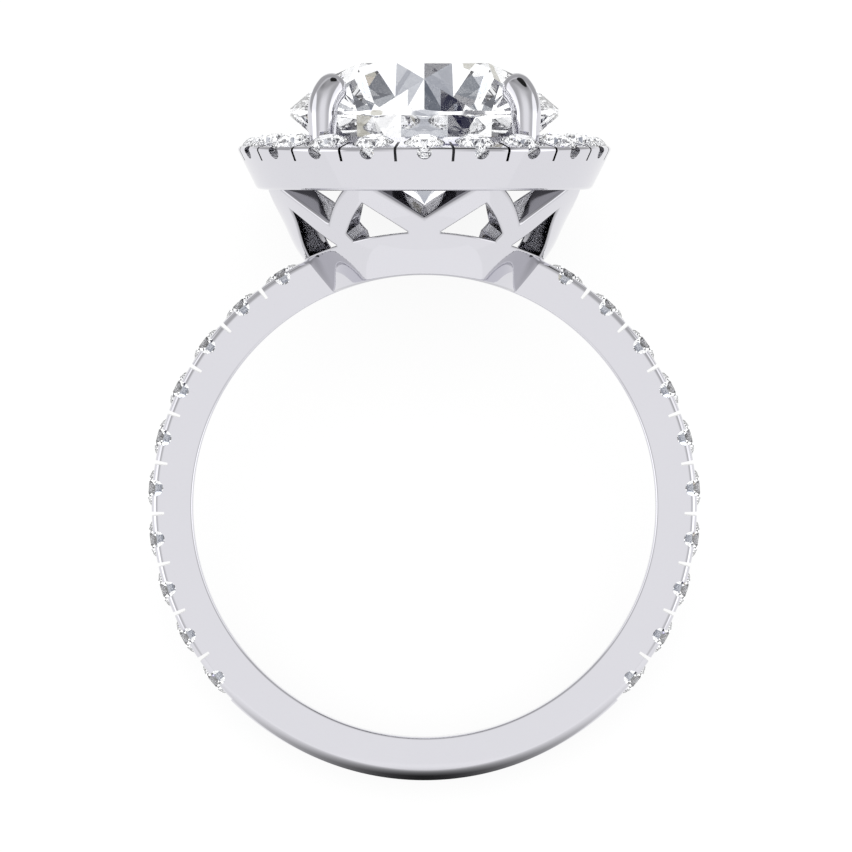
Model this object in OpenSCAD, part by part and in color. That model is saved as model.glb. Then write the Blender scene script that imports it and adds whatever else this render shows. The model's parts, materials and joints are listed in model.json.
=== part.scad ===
// Anniversary ring with a round centre stone in a halo, a pierced gallery and stones down both sides of the band.
// The modules draw the ring upright: the finger hole runs along Y through the origin and the head points up, +Z.
// lay_down() then puts it on its side as it rests, head towards +Y, on the band's edge and the halo's rim.

/* [Band] */
// Radius of the finger hole
finger_r = 8.25; // [8:0.05:8.5]
// Thickness of the plain bottom of the band
band_t = 1.54; // [1.5:0.02:1.7]
// Width of the band, along the finger
band_w = 2.0; // [1.9:0.05:2.3]
// Rounding of the outer edges along the plain bottom
bottom_edge_r = 0.38; // [0.2:0.02:0.45]
// Rounding of the outer edges between the stones
side_edge_r = 0.26; // [0.15:0.01:0.3]
// Rounding of the edges of the finger hole
hole_edge_r = 0.12; // [0.08:0.01:0.16]
// How much lower the band's surface is where it holds stones
side_drop = 0.06; // [0.04:0.01:0.1]

/* [Band stones] */
// Stones on each side of the band
band_stones = 10; // [4:1:10]
// Diameter of a band stone
band_stone_d = 1.5; // [1.3:0.05:1.55]
// Angle from the head to the first stone
band_first_a = 31.75; // [31:0.25:33]
// Angle from one stone to the next
band_pitch_a = 10.88; // [10.7:0.02:10.9]
// Radius from the finger's axis to a stone's girdle
band_girdle_r = 9.6; // [9.56:0.01:9.62]

/* [Halo] */
// Stones around the halo
halo_stones = 20; // [16:4:20]
// Diameter of a halo stone
halo_stone_d = 1.4; // [1.2:0.05:1.4]
// Radius of the circle of halo stones
halo_row_r = 5.84; // [5.8:0.01:5.86]
// Radius of the halo at the widest point of its rim
halo_r = 6.66; // [6.6:0.02:6.75]
// Height of the halo's flat underside above the finger's axis
halo_z = 11.3; // [11.2:0.05:11.4]
// Height of the halo's wall, up to its rim
halo_wall_h = 1.55; // [1.5:0.05:1.65]
// Angle of the halo's wall from upright
halo_flare_a = 26.7; // [24:0.5:28]
// Angle that the halo's top rises by towards the centre
halo_top_a = 13.5; // [12:0.5:14]

/* [Centre stone] */
// Diameter of the centre stone
stone_d = 9.57; // [9.3:0.05:9.6]
// Height of its table above the finger's axis
table_z = 15.81; // [15.8:0.05:15.9]
// Height of its crown, from girdle to table
crown_h = 1.64; // [1.5:0.02:1.7]
// Thickness of its girdle
girdle_h = 0.25; // [0.15:0.01:0.27]
// Angle of its pavilion
pavilion_a = 40; // [39:0.25:40.25]

/* [Prongs] */
// Distance of a prong's foot from the centre of the stone
prong_r = 5.13; // [5.1:0.01:5.16]
// Radius of a prong at the girdle
prong_t = 0.53; // [0.48:0.01:0.55]
// Radius of a prong's foot
prong_foot_t = 0.35; // [0.3:0.01:0.4]
// Radius of the claw's round end
claw_t = 0.56; // [0.5:0.01:0.58]
// Angle that a claw bends over the stone
claw_a = 52; // [45:1:55]

/* [Gallery] */
// Wall of the gallery from its foot up to the tops of its bars, measured level
gallery_t = 1.3; // [1:0.05:1.4]
// Its wall under the halo, measured level
gallery_top_t = 0.85; // [0.75:0.05:1]
// Radius of the saddle where the gallery meets the band, from the finger's axis
saddle_r = 9.75; // [9.7:0.01:9.8]

/* [Hidden] */
gap = 0.025;
far = 30;
$fn = 96;

band_out_r = finger_r + band_t;
side_out_r = band_out_r - side_drop;
side_end_a = round(10 * (band_first_a + band_pitch_a * (band_stones - 0.5))) / 10;

// Halo frame: rounds of its section, the stones' circle, notches and slots
rim_edge_r = 0.12;
foot_edge_r = 0.26;
in_edge_r = 0.08;
halo_in_r = 4.95;
halo_foot_in_r = 4.8;
rim_round = [halo_r - rim_edge_r, halo_z + halo_wall_h - rim_edge_r];
foot_round_z = halo_z + foot_edge_r;
foot_round = [
    rim_round[0] + (rim_edge_r - foot_edge_r) / cos(halo_flare_a)
        - (rim_round[1] - foot_round_z) * tan(halo_flare_a),
    foot_round_z
];
rim_top = rim_round + [rim_edge_r * sin(halo_top_a), rim_edge_r * cos(halo_top_a)];
halo_row_z = rim_top[1] + (rim_top[0] - halo_row_r) * tan(halo_top_a) - 0.03;
halo_notch_r = 0.35;
halo_notch_z = 12.71;
halo_notch_in = 5.3;
halo_slot_z = 12.35;
halo_slot_w = 0.1;
halo_slot_in = 5.75;

// Band: notches under its stones, and slots between them
band_notch_r = 0.31;
band_notch_at = 9.62;
band_slot_w = 0.16;
band_slot_foot_w = 0.11;
band_slot_at = 9.29;

// Centre stone
stone_r = stone_d / 2;
girdle_z = table_z - crown_h;
table_part = 0.517;
star_part = 0.735;
// How far its facets are drawn past the girdle before the round girdle is cut
facets_over = 1.025;

// Small brilliants: crown, girdle, pavilion angle, table and star, as parts of the diameter or of the radius
melee_crown = 0.15;
melee_girdle = 0.04;
melee_pavilion_a = 40.5;
melee_table = 0.56;
melee_star = 0.75;

// Gallery: heights and outer radii of its flare, from under the finger hole up into the halo
flare = [[7.3, 3.13], [9.17, 4.56], [10.3, 5.12], [11.35, 5.86]];
window_tilt_a = 31;
// How far its foot stands back from the wall of the finger hole, which the band alone makes
foot_gap = 0.17;
// Angles, from the front round one quarter, of the bars' joints at the top and at the saddle, and half widths
top_joints = [22.75, 67.25];
low_joints = [0, 43, 90];
top_joint_a = 6.2;
low_joint_a = 5.4;
low_end_a = 13;
// Heights of the windows' points, of the lower ones' widest place and of their ends inside the saddle
upper_apex_z = 10.17;
lower_apex_z = 10.85;
lower_base_z = 9.73;
lower_end_z = 8.6;
// How far a window's prism reaches inwards and outwards from the wall
window_in = 2.2;
window_out = 1.2;

// Prongs: the bend of a claw over the stone, and the sides and steps of the swept solid
claw_bend_r = 1.15;
claw_top_z = 15.44;
claw_bend_z = claw_top_z - claw_t - claw_bend_r * sin(claw_a);
prong_foot_z = halo_z + 0.1;
prong_sides = 16;
bend_steps = 6;
round_steps = 4;

// How the ring leans when it lies down: the floor touches the round of the band's edge and of the halo's rim
band_round = [band_w / 2 - bottom_edge_r, bottom_edge_r - band_out_r];
rounds_apart = [rim_round[0], rim_round[1]] - band_round;
lean_a = atan2(rounds_apart[0], rounds_apart[1]) - asin((bottom_edge_r - rim_edge_r) / norm(rounds_apart));
rest_lift = bottom_edge_r + band_round[0] * cos(lean_a) - band_round[1] * sin(lean_a);
rest_front = bottom_edge_r + band_round[0] * sin(lean_a) - band_round[1] * cos(lean_a);
rest_back = table_z * cos(lean_a) + table_part * stone_r * cos(22.5) * sin(lean_a);

metal = [0.84, 0.84, 0.87];
diamond = [0.93, 0.96, 1];

function two(n) = n < 10 ? str("0", n) : str(n);
function halo_name(i) = str("halo_stone_", two(i));
function band_name(side, i) = str("band_stone_", side, "_", two(i));

// A point on a circle at an angle, points along an arc, and points around a level ring
function polar(r, a) = [r * cos(a), r * sin(a)];
function arc(at, r, from, to, steps) = [for (i = [0 : steps]) at + polar(r, from + (to - from) * i / steps)];
function ring_points(r, z, n, first) = [for (i = [0 : n - 1]) concat(polar(r, first + i * 360 / n), z)];

// Outer radius of the gallery's flare at a height
function flare_r(z) = lookup(z, flare);

// A round brilliant on the Z axis, table up, with the middle of its girdle at z = 0. It has 8 star, 8 bezel and
// 16 upper facets over the girdle, and 16 lower and 8 main facets under it. `over` draws them past the girdle.
module brilliant(r, crown, girdle, pavilion_a, table, star, over = 1) {
    big = r * over;
    top = girdle / 2 + crown;
    depth = girdle / 2 + r * tan(pavilion_a);
    bezel = crown / (r - table * r);
    low = 0.24 * r;
    points = concat(
        ring_points(table * r, top, 8, 22.5),
        ring_points(star * r, top - (star * cos(22.5) - table) * r * bezel, 8, 0),
        ring_points(big, girdle / 2 - (big - r) * bezel, 16, 0),
        ring_points(big, (big - r) * tan(pavilion_a) - girdle / 2, 16, 0),
        ring_points(low, low * cos(22.5) * tan(pavilion_a) - depth, 8, 0),
        [[0, 0, -depth]]
    );
    // Where the star, upper, lower and main points and the culet stand in the list
    st = 8;
    up = 16;
    lo = 32;
    ma = 48;
    culet = 56;
    faces = concat(
        [[for (k = [7 : -1 : 0]) k]],
        [for (k = [0 : 7]) let (n = (k + 1) % 8, j = 2 * k, b = (2 * k + 15) % 16) each [
            [k, n, st + n],
            [k, st + n, up + j + 1],
            [k, up + j + 1, st + k],
            [st + k, up + j + 1, up + j],
            [st + k, up + j, up + b],
            [lo + j, lo + j + 1, ma + k],
            [lo + j, ma + k, lo + b],
            [ma + k, lo + j + 1, culet],
            [ma + n, culet, lo + j + 1]
        ]],
        [for (j = [0 : 15]) let (n = (j + 1) % 16) each [
            [up + j, up + n, lo + j],
            [lo + j, up + n, lo + n]
        ]]
    );
    polyhedron(points, faces);
}

// A small brilliant, and the seat that it sits in: a cone under its girdle and a round hole over it
module melee(d) {
    brilliant(d / 2, melee_crown * d, melee_girdle * d, melee_pavilion_a, melee_table, melee_star);
}
module melee_seat(d, above) {
    r = d / 2 + gap;
    low = -melee_girdle * d / 2 - gap;
    rotate_extrude() polygon([[0, low - r * tan(melee_pavilion_a)], [r, low], [r, above], [0, above]]);
}

// Places of the stones and of the slots between them
module at_band(side, place) {
    a = band_first_a + band_pitch_a * (place - 1);
    rotate([0, side == "right" ? a : -a, 0]) children();
}
module at_halo(place) {
    rotate([0, 0, -90 + (place - 1) * 360 / halo_stones]) children();
}
module on_halo() {
    translate([halo_row_r, 0, halo_row_z]) rotate([0, halo_top_a, 0]) children();
}

// Section of the band: the distance from the finger's axis, and the place along the finger
module band_section(out_r, edge_r) {
    h = band_w / 2;
    hole = finger_r + hole_edge_r;
    polygon(concat(
        arc([hole, hole_edge_r - h], hole_edge_r, 180, 270, 2),
        arc([out_r - edge_r, edge_r - h], edge_r, -90, 0, 4),
        arc([out_r - edge_r, h - edge_r], edge_r, 0, 90, 4),
        arc([hole, h - hole_edge_r], hole_edge_r, 90, 180, 2)
    ));
}

// A stretch of the band from one angle on, counted from +X over the head
module band_stretch(from, angle, out_r, edge_r) {
    rotate_extrude(angle = angle, start = from, $fn = 180) band_section(out_r, edge_r);
}

// The seat of a band stone, with the notch that opens it to both sides
module band_seat() {
    translate([0, 0, band_girdle_r]) melee_seat(band_stone_d, 0.6);
    translate([0, 0, band_notch_at]) rotate([90, 0, 0]) cylinder(r = band_notch_r, h = 2 * band_w, center = true);
}

// The slot that parts the metal between two band stones into claws
module band_slot() {
    w = band_slot_w / 2;
    foot = band_slot_foot_w / 2;
    rotate([90, 0, 0]) linear_extrude(2 * band_w, center = true)
        polygon([[-foot, band_slot_at], [foot, band_slot_at], [w, side_out_r], [w, side_out_r + 0.3],
                 [-w, side_out_r + 0.3], [-w, side_out_r]]);
}

module band() {
    difference() {
        rotate([90, 0, 0]) {
            band_stretch(90 - side_end_a, 2 * side_end_a, side_out_r, side_edge_r);
            band_stretch(90 + side_end_a, 360 - 2 * side_end_a, band_out_r, bottom_edge_r);
        }
        for (side = ["left", "right"]) {
            for (i = [1 : band_stones]) at_band(side, i) band_seat();
            for (i = [1 : band_stones - 1]) at_band(side, i + 0.5) band_slot();
        }
    }
}

// Section of the halo's frame: a wall that flares up, a top that rises towards the stone, and a straight inside
module halo_section() {
    in_round = halo_in_r + in_edge_r;
    in_round_z = rim_top[1] + (rim_top[0] - in_round) * tan(halo_top_a) - in_edge_r / cos(halo_top_a);
    polygon(concat(
        [[halo_foot_in_r, halo_z]],
        arc(foot_round, foot_edge_r, -90, -halo_flare_a, 4),
        arc(rim_round, rim_edge_r, -halo_flare_a, 90 - halo_top_a, 4),
        arc([in_round, in_round_z], in_edge_r, 90 - halo_top_a, 180, 2)
    ));
}

module halo_frame() {
    rotate_extrude($fn = 180) halo_section();
}

// The seat of a halo stone, with the notch that opens it through the wall
module halo_seat() {
    on_halo() melee_seat(halo_stone_d, 0.3);
    translate([halo_notch_in, 0, halo_notch_z]) rotate([0, 90, 0]) cylinder(r = halo_notch_r, h = 2);
}

// The slot that parts the wall between two halo stones
module halo_slot() {
    translate([halo_slot_in, -halo_slot_w / 2, halo_slot_z]) cube([2, halo_slot_w, 2]);
}

// A prong's rings, from the foot up: distance from the head's axis, height, lean towards it, and radius
function prong_rings() = concat(
    [[prong_r, prong_foot_z, 0, prong_foot_t]],
    [for (i = [0 : bend_steps]) let (a = claw_a * i / bend_steps)
        [prong_r - claw_bend_r * (1 - cos(a)), claw_bend_z + claw_bend_r * sin(a), a,
         prong_t + (claw_t - prong_t) * i / bend_steps]],
    [for (i = [1 : round_steps - 1]) let (a = 90 * i / round_steps)
        [prong_r - claw_bend_r * (1 - cos(claw_a)) - claw_t * sin(a) * sin(claw_a),
         claw_bend_z + claw_bend_r * sin(claw_a) + claw_t * sin(a) * cos(claw_a), claw_a, claw_t * cos(a)]]
);

// The tip of the claw's round end
function claw_tip() = [
    prong_r - claw_bend_r * (1 - cos(claw_a)) - claw_t * sin(claw_a), 0,
    claw_bend_z + claw_bend_r * sin(claw_a) + claw_t * cos(claw_a)
];

// One prong: a tapered foot in the halo, a bend over the girdle and a round end, swept through its rings
module prong() {
    rings = prong_rings();
    n = prong_sides;
    last = n * (len(rings) - 1);
    points = concat(
        [for (g = rings, i = [0 : n - 1]) let (p = polar(g[3], 360 * i / n))
            [g[0] + p[0] * cos(g[2]), p[1], g[1] + p[0] * sin(g[2])]],
        [claw_tip()]
    );
    polyhedron(points, concat(
        [[for (i = [0 : n - 1]) i]],
        [for (g = [0 : n : last - n], i = [0 : n - 1]) let (j = (i + 1) % n) each [
            [g + i, g + n + i, g + j],
            [g + j, g + n + i, g + n + j]
        ]],
        [for (i = [0 : n - 1]) [last + i, last + n, last + (i + 1) % n]]
    ));
}

// The centre stone's room in the prongs
module stone_seat() {
    star_z = girdle_z + crown_h - (star_part * cos(22.5) - table_part) * stone_r * crown_h
        / (stone_r - table_part * stone_r);
    low = girdle_z - girdle_h - gap;
    rotate_extrude() polygon([
        [0, low - stone_r * tan(pavilion_a)],
        [stone_r + gap, low],
        [stone_r + gap, girdle_z + gap],
        [star_part * stone_r, star_z + 2 * gap],
        [table_part * stone_r, table_z + 2 * gap],
        [0, table_z + 2 * gap]
    ]);
}

module head() {
    difference() {
        union() {
            halo_frame();
            for (a = [45 : 90 : 315]) rotate([0, 0, a]) prong();
        }
        for (i = [1 : halo_stones]) at_halo(i) halo_seat();
        for (i = [1 : halo_stones]) at_halo(i + 0.5) halo_slot();
        stone_seat();
    }
}

// A prism square to the gallery's wall at an angle from the front, its outline given as [angle, height] pairs
module window(at, outline) {
    heights = [for (p = outline) p[1]];
    mid = (max(heights) + min(heights)) / 2;
    rotate([0, 0, at - 90]) translate([flare_r(mid), 0, mid]) rotate([0, 90 + window_tilt_a, 0])
        translate([0, 0, -window_in]) linear_extrude(window_in + window_out)
            polygon([for (p = outline) [(mid - p[1]) / cos(window_tilt_a), flare_r(p[1]) * sin(p[0] - at)]]);
}

// Repeats what stands in the front right quarter in all four quarters
module all_quarters() {
    for (x = [0, 1], y = [0, 1]) mirror([x, 0, 0]) mirror([0, y, 0]) children();
}

// The upper windows point down to the saddle joints, between the top joints
module upper_windows() {
    top = flare[3][0];
    edge = top_joints[0] - top_joint_a;
    for (at = [0 : 90 : 270]) window(at, [[at - edge, top], [at + edge, top], [at, upper_apex_z]]);
    all_quarters() window(45, [[top_joints[0] + top_joint_a, top], [top_joints[1] - top_joint_a, top],
                               [low_joints[1], upper_apex_z]]);
}

// The lower windows point up to the top joints, between the saddle joints
module lower_windows() {
    all_quarters() for (k = [0, 1])
        window(top_joints[k], [
            [top_joints[k], lower_apex_z],
            [low_joints[k] + low_joint_a, lower_base_z],
            [low_joints[k] + low_end_a, lower_end_z],
            [low_joints[k + 1] - low_end_a, lower_end_z],
            [low_joints[k + 1] - low_joint_a, lower_base_z]
        ]);
}

module finger_cylinder(r) {
    rotate([90, 0, 0]) cylinder(r = r, h = far, center = true, $fn = 180);
}

// The flared wall, cut off at the finger hole and pierced down to the saddle
module gallery() {
    outside = [for (p = flare) [p[1], p[0]]];
    last = len(flare) - 1;
    inside = [for (i = [last : -1 : 0]) [flare[i][1] - (i == last ? gallery_top_t : gallery_t), flare[i][0]]];
    difference() {
        rotate_extrude($fn = 180) polygon(concat(outside, inside));
        finger_cylinder(finger_r + foot_gap);
        difference() {
            lower_windows();
            finger_cylinder(saddle_r);
        }
        intersection() {
            upper_windows();
            translate([0, 0, halo_z - 2]) cylinder(r = far, h = 2);
        }
    }
}

// Lays the upright ring on its side
module lay_down() {
    translate([0, (rest_front - rest_back) / 2, rest_lift]) rotate([lean_a - 90, 0, 0]) children();
}

module ring_mount() {
    color(metal) lay_down() {
        band();
        gallery();
        head();
    }
}

module centre_stone() {
    color(diamond) lay_down() translate([0, 0, girdle_z - girdle_h / 2]) intersection() {
        brilliant(stone_r, crown_h, girdle_h, pavilion_a, table_part, star_part, facets_over);
        cylinder(r = stone_r, h = far, center = true);
    }
}

module halo_stone(i) {
    color(diamond) lay_down() at_halo(i) on_halo() melee(halo_stone_d);
}

module band_stone(side, i) {
    color(diamond) lay_down() at_band(side, i) translate([0, 0, band_girdle_r]) melee(band_stone_d);
}

ring_mount();
centre_stone();
for (i = [1 : halo_stones])
    halo_stone(i);
for (side = ["left", "right"], i = [1 : band_stones])
    band_stone(side, i);
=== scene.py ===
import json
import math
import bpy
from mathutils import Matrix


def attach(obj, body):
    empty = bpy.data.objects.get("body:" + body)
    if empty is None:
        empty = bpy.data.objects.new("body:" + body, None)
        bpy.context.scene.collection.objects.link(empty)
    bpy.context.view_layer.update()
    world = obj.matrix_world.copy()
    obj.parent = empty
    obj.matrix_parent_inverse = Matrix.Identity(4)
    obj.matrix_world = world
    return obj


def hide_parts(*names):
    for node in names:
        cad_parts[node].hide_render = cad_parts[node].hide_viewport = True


bl_info = {
    "name": "Anniversary Ring",
    "version": (1, 0, 0),
    "blender": (4, 5, 0),
    "location": "View3D > Sidebar > Ring",
    "description": "Dresses the frame of an anniversary ring: polished metal, brilliants and a pale stage",
    "category": "Add Mesh",
}

import bmesh
import bpy
import numpy as np
from bpy.props import FloatProperty, FloatVectorProperty, IntProperty, PointerProperty
from bpy.types import Operator, Panel, PropertyGroup
from mathutils import Matrix, Vector
from mathutils.geometry import delaunay_2d_cdt

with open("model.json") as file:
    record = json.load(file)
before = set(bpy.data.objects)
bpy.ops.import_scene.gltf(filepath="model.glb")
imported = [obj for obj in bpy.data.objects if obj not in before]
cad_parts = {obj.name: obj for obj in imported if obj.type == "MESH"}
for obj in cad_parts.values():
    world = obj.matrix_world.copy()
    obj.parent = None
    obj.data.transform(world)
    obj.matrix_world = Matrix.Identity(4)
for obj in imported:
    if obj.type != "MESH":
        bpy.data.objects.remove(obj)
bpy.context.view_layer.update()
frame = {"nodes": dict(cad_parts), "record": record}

# The ring's own upright axes in the row frame, where it lies on its side: +X across, AWAY along the finger
# and away from the camera, UP from the band's plain bottom to the head. HOLE is the finger hole's middle.
FINGER_HOLE = next(m for m in frame["record"]["mounts"] if m["name"] == "finger_hole")
HOLE = np.array(FINGER_HOLE["pos_m"])
ACROSS = np.array([1.0, 0.0, 0.0])
AWAY = -np.array(FINGER_HOLE["axis"])
UP = np.cross(ACROSS, AWAY)
AXES = np.array([ACROSS, AWAY, UP])

METAL_NODE = "ring_mount"
METAL_FINISH = "polished_white_gold"
# The recess finish is the metal with its colour painted darker as shade and a rougher polish, for seats,
# notches, slots and the gallery's windows and inside
RECESS_SHADE_FINISH = "recessed_white_gold"
STONE_FINISH = "clear_diamond"
BODY = "root"
MM = 0.001

# Cards that the polished metal sees: (direction in the upright axes, half angle in degrees, how dark)
METAL_CARDS = (((0.24, -0.05, 0.97), 18.0, 0.95), ((-0.22, 0.5, 0.84), 8.0, 0.6))

# Tones of the white room and of the cards around the stones: brightness in red, green and blue
WHITE = (1.45, 1.45, 1.45)
BLACK = (0.02, 0.02, 0.05)
DARK = (0.11, 0.12, 0.15)
GREY = (0.2, 0.22, 0.26)
SILVER = (0.4, 0.42, 0.48)
CREAM = (0.6, 0.58, 0.5)
AMBER = (0.42, 0.35, 0.26)
LILAC = (0.75, 0.7, 1.15)
BRIGHT = (1.9, 2.0, 2.2)

# Cards that show in the stones' facets: (direction in the upright axes, half angle in degrees, tone)
STONE_CARDS = (
    ((0.1, 0.35, 0.93), 22.0, DARK),
    ((0.59, 0.31, 0.75), 9.0, DARK),
    ((-0.59, 0.31, 0.75), 9.0, DARK),
    ((0.0, 0.98, -0.2), 12.5, SILVER),
    ((-0.44, 0.89, 0.1), 9.0, BLACK),
    ((-0.64, -0.47, 0.61), 12.0, BLACK),
    ((0.74, -0.61, 0.3), 5.0, DARK),
    ((-0.74, -0.61, 0.3), 5.0, GREY),
    ((0.42, 0.9, -0.08), 5.0, CREAM),
    ((-0.15, -0.22, -0.96), 13.0, BLACK),
    ((0.25, 0.95, 0.17), 4.5, GREY),
    ((0.76, -0.19, 0.63), 13.0, GREY),
    ((-0.78, 0.43, -0.46), 9.0, CREAM),
    ((-0.19, 0.8, -0.57), 6.0, BLACK),
    ((-0.91, -0.41, 0.1), 6.0, DARK),
    ((0.91, -0.41, 0.1), 6.0, DARK),
    ((-0.39, 0.8, -0.45), 4.0, BLACK),
    ((-0.8, 0.04, 0.59), 12.0, GREY),
    ((0.49, -0.42, -0.76), 12.0, AMBER),
    ((0.76, 0.62, -0.18), 11.0, BLACK),
    ((-0.77, 0.62, -0.18), 9.0, BLACK),
    ((-0.49, -0.42, -0.76), 6.0, SILVER),
    ((0.25, -0.84, -0.48), 6.0, CREAM),
    ((0.0, 0.88, 0.47), 8.0, BRIGHT),
    ((0.1, -0.55, -0.83), 7.0, LILAC),
)

# Sizes below are in millimetres in the upright axes, and angles in degrees
RIM_ROUND = 0.12
FOOT_ROUND = 0.26
INNER_ROUND = 0.08
HALO_INNER_R = 4.95
HALO_FOOT_INNER_R = 4.8
HALO_ROW_R = 5.84
HALO_ROW_DROP = 0.03
HALO_NOTCH_R = 0.27
HALO_NOTCH_Z = 12.69
HALO_NOTCH_FROM = 5.3
HALO_SLOT_Z = 12.35
HALO_SLOT_FROM = 5.75
HALO_SLOT_W = 0.1
BAND_GIRDLE_R = 9.6
BAND_NOTCH_R = 0.28
BAND_NOTCH_AT = 9.62
BAND_SLOT_AT = 9.29
BAND_SLOT_W = 0.16
BAND_SLOT_FOOT_W = 0.11
BAND_FIRST = 31.75
BAND_PITCH = 10.88
BAND_SIDE_END = 135.1
SEAT_GAP = 0.025
SEAT_GIRDLE = 0.04
SEAT_PAVILION = 40.5

# The centre stone, for the room that its prongs leave it
STONE_R = 4.785
STONE_TABLE_Z = 15.81
STONE_CROWN = 1.64
STONE_GIRDLE = 0.25
STONE_PAVILION = 40.0
STONE_TABLE_PART = 0.517
STONE_STAR_PART = 0.735

# The gallery's flare as (height, outer radius), from under the finger hole up into the halo
FLARE = np.array([[7.3, 3.13], [9.17, 4.56], [10.3, 5.12], [11.35, 5.86]])
# Its wall square to the surface, as (height, thickness)
WALL = np.array([[7.3, 0.9], [10.14, 0.92], [11.35, 0.7]])
TOP_JOINTS = (22.75, 67.25)
LOW_JOINT = 43.0
TOP_JOINT_HALF = 6.2
FRONT_HALF = 17.4
FRONT_APEX_Z = 10.34
UPPER_APEX_Z = 10.15
UPPER_BOW = 0.12
SADDLE_R = 9.83
SADDLE_BACK_R = 9.7
COLLAR_R = 8.29
# The saddle and the collar meet the flare below this height
SADDLE_TOP_Z = 10.6
# Radii of the gallery about its foot and its saddle, for the number of points along them
FOOT_R = 3.7
SADDLE_EDGE_R = 4.5
# How far the points along the top edge keep from the windows
TOP_EDGE_CLEAR = 0.28
# The flat chart of the flare: its radius at the foot, and how fast that grows with the height
CHART_FOOT_R = 3.0
CHART_SPREAD = 1.15

# The lower windows of a quarter as (angle of its middle, point, corners down the side towards the front,
# corners down the other side, how far that side bows out). Places are (angle from the front, height).
LOWER_WINDOWS = (
    (22.75, (23.7, 10.83), ((5.3, 9.73), (13.0, 8.6)), ((34.9, 9.76), (27.0, 9.0)), 0.09),
    (64.0, (64.0, 10.59), ((33.9, 8.94),), ((74.3, 8.42),), 0.0),
)

# The point in the middle of the picture
AIM = (0.06, 0.0, 2.85)


def length_prop(name, description, size):
    """A length that a user may change, from its usual size in millimetres."""
    return FloatProperty(name=name, description=description, default=size * MM, unit="LENGTH", precision=5)


def angle_prop(name, description, degrees):
    return FloatProperty(name=name, description=description, default=math.radians(degrees), unit="ROTATION")


def colour_prop(name, description, default):
    return FloatVectorProperty(name=name, description=description, default=default, subtype="COLOR")


def number_prop(name, description, default):
    return FloatProperty(name=name, description=description, default=default)


class BandSizes(PropertyGroup):
    """What a user would change on the band."""

    hole_radius: length_prop("Hole radius", "Radius of the finger hole", 8.25)
    thickness: length_prop("Thickness", "Thickness of the plain bottom", 1.54)
    width: length_prop("Width", "Width along the finger", 2.0)
    bottom_round: length_prop("Bottom rounding", "Rounding of the outer edges along the plain bottom", 0.38)
    side_round: length_prop("Side rounding", "Rounding of the outer edges between the stones", 0.26)
    hole_round: length_prop("Hole rounding", "Rounding of the edges of the finger hole", 0.12)
    side_drop: length_prop("Side drop", "How much lower the band is where it holds stones", 0.06)
    stones: IntProperty(name="Stones a side", description="Stones on each side of the band", default=10)
    stone_size: length_prop("Stone", "Diameter of a band stone", 1.5)


class HeadSizes(PropertyGroup):
    """What a user would change on the halo and the prongs."""

    halo_radius: length_prop("Halo radius", "Radius of the rim at its widest", 6.66)
    halo_height: length_prop("Halo height", "Height of the halo's underside above the finger's axis", 11.3)
    wall_height: length_prop("Wall height", "Height of the halo's wall up to its rim", 1.55)
    flare: angle_prop("Flare", "Angle of the halo's wall from upright", 26.7)
    rise: angle_prop("Rise", "Angle that the halo's top rises by towards the centre", 13.5)
    stones: IntProperty(name="Stones", description="Stones around the halo", default=20)
    stone_size: length_prop("Stone", "Diameter of a halo stone", 1.4)
    prong_at: length_prop("Prong place", "Distance of a prong's foot from the centre of the stone", 5.13)
    prong_radius: length_prop("Prong radius", "Radius of a prong at the girdle", 0.53)
    prong_foot: length_prop("Prong foot", "Radius of a prong's foot", 0.35)
    claw_radius: length_prop("Claw end", "Radius of a claw's round end", 0.56)
    claw_lean: angle_prop("Claw lean", "Angle that a claw bends over the stone", 52.0)


class FinishSizes(PropertyGroup):
    """Colours and polish."""

    metal: colour_prop("Metal", "Colour of the polished white gold", (0.735, 0.73, 0.775))
    metal_roughness: number_prop("Polish", "Roughness of the polished metal", 0.045)
    # Painted shade: the share of the metal's colour left where it is painted darker in windows, seats and the
    # gallery's inside
    recess: number_prop("Recess", "Tone of the metal in windows and seats, beside the polished metal", 0.42)
    stone: colour_prop("Stone", "Body colour of the diamonds", (0.985, 0.99, 1.0))
    stone_ior: number_prop("Refraction", "Refractive index of diamond", 2.417)


class StageSizes(PropertyGroup):
    """The camera and the pale floor."""

    view_width: length_prop("View width", "Width of the view at the ring", 30.43)
    distance: length_prop("Distance", "Distance of the camera", 1000.0)
    tilt: angle_prop("Tilt", "How far the camera looks down on the head", 1.0)
    floor: colour_prop("Floor", "Matt part of the floor", (0.12, 0.12, 0.12))
    light: number_prop("Light", "Strength of the room's white light", 1.25)


class Value:
    """A number that a shader works out. Arithmetic on it adds Math nodes to its tree."""

    def __init__(self, tree, socket):
        self.tree = tree
        self.socket = socket

    def __add__(self, other):
        return self.tree.math("ADD", self, other)

    def __radd__(self, other):
        return self.tree.math("ADD", other, self)

    def __sub__(self, other):
        return self.tree.math("SUBTRACT", self, other)

    def __rsub__(self, other):
        return self.tree.math("SUBTRACT", other, self)

    def __mul__(self, other):
        return self.tree.math("MULTIPLY", self, other)

    def __rmul__(self, other):
        return self.tree.math("MULTIPLY", other, self)

    def __abs__(self):
        return self.tree.math("ABSOLUTE", self)

    def step(self, low, high):
        """0 below low, 1 above high, and a smooth rise between. With low above high it falls instead."""
        node = self.tree.node(
            "ShaderNodeMapRange", {"interpolation_type": "SMOOTHSTEP"},
            {"Value": self, "From Min": low, "From Max": high, "To Min": 0.0, "To Max": 1.0},
        )
        return Value(self.tree, node.outputs["Result"])


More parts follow.
